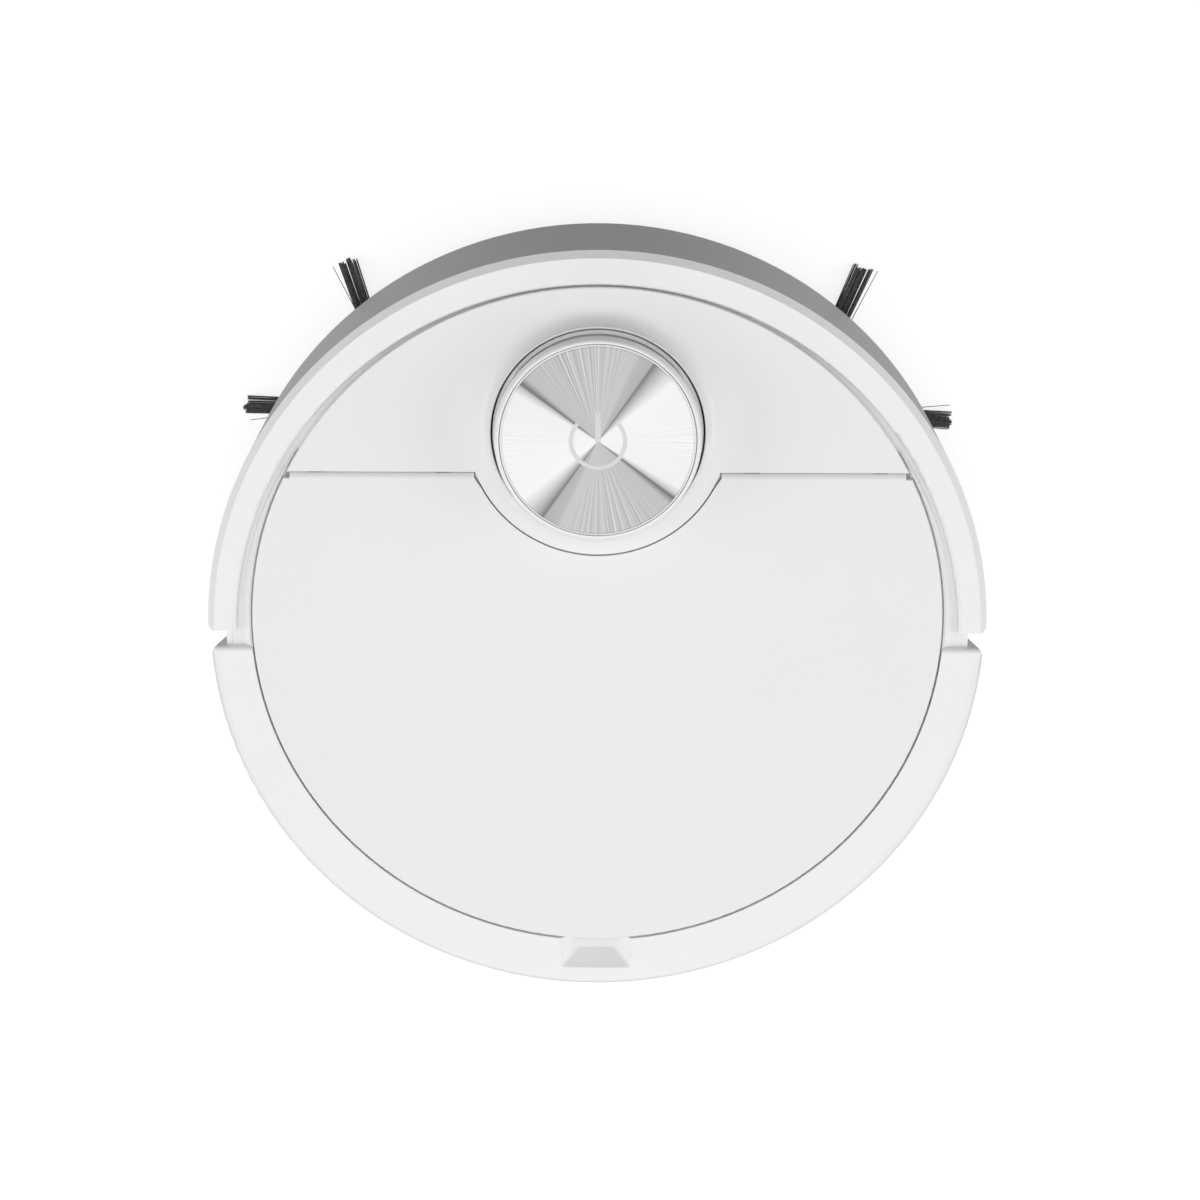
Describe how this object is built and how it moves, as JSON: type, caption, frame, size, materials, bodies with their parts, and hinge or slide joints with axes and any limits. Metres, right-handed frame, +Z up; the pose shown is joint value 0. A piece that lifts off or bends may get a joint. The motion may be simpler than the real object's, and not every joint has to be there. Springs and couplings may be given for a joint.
{
  "type": "robotic floor cleaner",
  "caption": "Low round self-driving vacuum cleaner with a sprung front bumper, a hinged dust lid, a raised scanner turret with a power button, side brushes and drive wheels.",
  "frame": {"origin": "on the floor, under the centre of the round body", "axes": "+Z up; the robot drives towards -Y; +X is the robot's left side"},
  "size_m": [0.3298, 0.329, 0.0956],
  "materials": {
    "white_shell": "satin moulded white plastic",
    "white_lid": "smooth satin white plastic",
    "grey_chassis": "fine textured dark grey plastic",
    "black_plastic": "plain black plastic",
    "window_grey": "glossy grey scanner head",
    "spun_metal": "thin metal disc, spun brushed finish",
    "steel": "plain steel",
    "contact_metal": "plated contact metal",
    "soft_rubber": "soft black rubber",
    "tyre_rubber": "grooved rubber tread",
    "bristle": "dark grey nylon bristles",
    "filter_paper": "pleated filter paper",
    "circuit_board": "green lacquered board",
    "cell_pack": "wrapped battery cells",
    "clear_bin": "smoked translucent plastic",
    "lens_glass": "dark polished lens"
  },
  "bodies": {
    "body": {"battery_cover": "grey_chassis", "battery_pack": "cell_pack", "bin_handle": "black_plastic", "bin_tray": "white_shell", "body_shell": "white_shell", "brush_gearbox": "black_plastic", "brush_guard": "grey_chassis", "bumper_springs": "steel", "bushings": "contact_metal", "button_spring": "steel", "charging_contacts": "contact_metal", "chassis": "grey_chassis", "chassis_screws": "steel", "cliff_sensors": "lens_glass", "deck_frame": "white_shell", "duct_seal": "soft_rubber", "dust_bin": "clear_bin", "exhaust_grille": "white_shell", "fan_blower": "black_plastic", "filter_frame": "black_plastic", "hepa_filter": "filter_paper", "left_brush_gearbox": "black_plastic", "lid_hinge_pins": "steel", "lidar_base": "black_plastic", "lidar_bearing": "steel", "lidar_belt": "soft_rubber", "lidar_motor": "steel", "main_board": "circuit_board", "micro_switches": "black_plastic", "right_brush_gearbox": "black_plastic", "speaker": "black_plastic", "top_cover": "white_lid", "turret_cap": "white_shell", "wheel_housings": "grey_chassis", "wheel_pivot_pins": "steel", "wheel_springs": "steel"},
    "bumper": {"bumper": "white_shell"},
    "lid": {"dust_lid": "white_lid"},
    "power_key": {"power_button": "white_shell", "button_inlay": "spun_metal"},
    "scanner": {"lidar_rotor": "window_grey", "lidar_lenses": "lens_glass"},
    "scanner_pulley": {"lidar_pulley": "contact_metal"},
    "left_side_brush": {"left_brush_hub": "black_plastic", "left_brush_screw": "steel", "left_brush_bristles": "bristle"},
    "right_side_brush": {"right_brush_hub": "black_plastic", "right_brush_screw": "steel", "right_brush_bristles": "bristle"},
    "left_wheel_module": {"left_wheel_arm": "black_plastic"},
    "right_wheel_module": {"right_wheel_arm": "black_plastic"},
    "left_wheel": {"left_wheel_rim": "black_plastic", "left_tyre": "tyre_rubber"},
    "right_wheel": {"right_wheel_rim": "black_plastic", "right_tyre": "tyre_rubber"},
    "caster_swivel": {"caster_fork": "black_plastic", "caster_axle": "steel"},
    "caster_roller": {"caster_wheel": "soft_rubber"},
    "main_brush": {"main_brush_core": "black_plastic", "main_brush_fins": "bristle"}
  },
  "joints": [
    {"name": "bumper_press", "type": "slide", "parent": "body", "child": "bumper", "axis": [0, 1, 0], "range_m": [0, 0.0035], "stiffness_N_per_m": 400, "springref_m": -0.004, "deforming": ["bumper_springs"]},
    {"name": "lid_hinge", "type": "hinge", "parent": "body", "child": "lid", "pos_m": [0, -0.07, 0.0756], "axis": [1, 0, 0], "range_deg": [0, 65]},
    {"name": "power_press", "type": "slide", "parent": "body", "child": "power_key", "axis": [0, 0, -1], "range_m": [0, 0.0008], "stiffness_N_per_m": 600, "springref_m": -0.001, "deforming": ["button_spring"]},
    {"name": "scanner_spin", "type": "hinge", "parent": "body", "child": "scanner", "pos_m": [0, -0.091, 0.07], "axis": [0, 0, 1], "continuous": true},
    {"name": "scanner_pulley_spin", "type": "hinge", "parent": "body", "child": "scanner_pulley", "pos_m": [0.054, -0.091, 0.066], "axis": [0, 0, 1], "continuous": true},
    {"name": "left_side_brush_spin", "type": "hinge", "parent": "body", "child": "left_side_brush", "pos_m": [0.088, -0.082, 0.01], "axis": [0, 0, 1], "continuous": true},
    {"name": "left_wheel_drop", "type": "hinge", "parent": "body", "child": "left_wheel_module", "pos_m": [0.102, -0.016, 0.041], "axis": [1, 0, 0], "range_deg": [-14, 0], "stiffness_Nm_per_rad": 0.5, "springref_deg": -28.65, "deforming": ["wheel_springs"]},
    {"name": "left_wheel_spin", "type": "hinge", "parent": "left_wheel_module", "child": "left_wheel", "pos_m": [0.116, 0.015, 0.034], "axis": [1, 0, 0], "continuous": true},
    {"name": "right_side_brush_spin", "type": "hinge", "parent": "body", "child": "right_side_brush", "pos_m": [-0.088, -0.082, 0.01], "axis": [0, 0, 1], "continuous": true},
    {"name": "right_wheel_drop", "type": "hinge", "parent": "body", "child": "right_wheel_module", "pos_m": [-0.102, -0.016, 0.041], "axis": [1, 0, 0], "range_deg": [-14, 0], "stiffness_Nm_per_rad": 0.5, "springref_deg": -28.65, "deforming": ["wheel_springs"]},
    {"name": "right_wheel_spin", "type": "hinge", "parent": "right_wheel_module", "child": "right_wheel", "pos_m": [-0.116, 0.015, 0.034], "axis": [1, 0, 0], "continuous": true},
    {"name": "caster_turn", "type": "hinge", "parent": "body", "child": "caster_swivel", "pos_m": [0, -0.132, 0.03], "axis": [0, 0, 1], "continuous": true},
    {"name": "caster_roll", "type": "hinge", "parent": "caster_swivel", "child": "caster_roller", "pos_m": [0, -0.128, 0.013], "axis": [1, 0, 0], "continuous": true},
    {"name": "main_brush_spin", "type": "hinge", "parent": "body", "child": "main_brush", "pos_m": [0, 0.022, 0.021], "axis": [1, 0, 0], "continuous": true}
  ],
  "couplings": [
    {"joint": "scanner_pulley_spin", "follows": "scanner_spin", "ratio": 6}
  ]
}
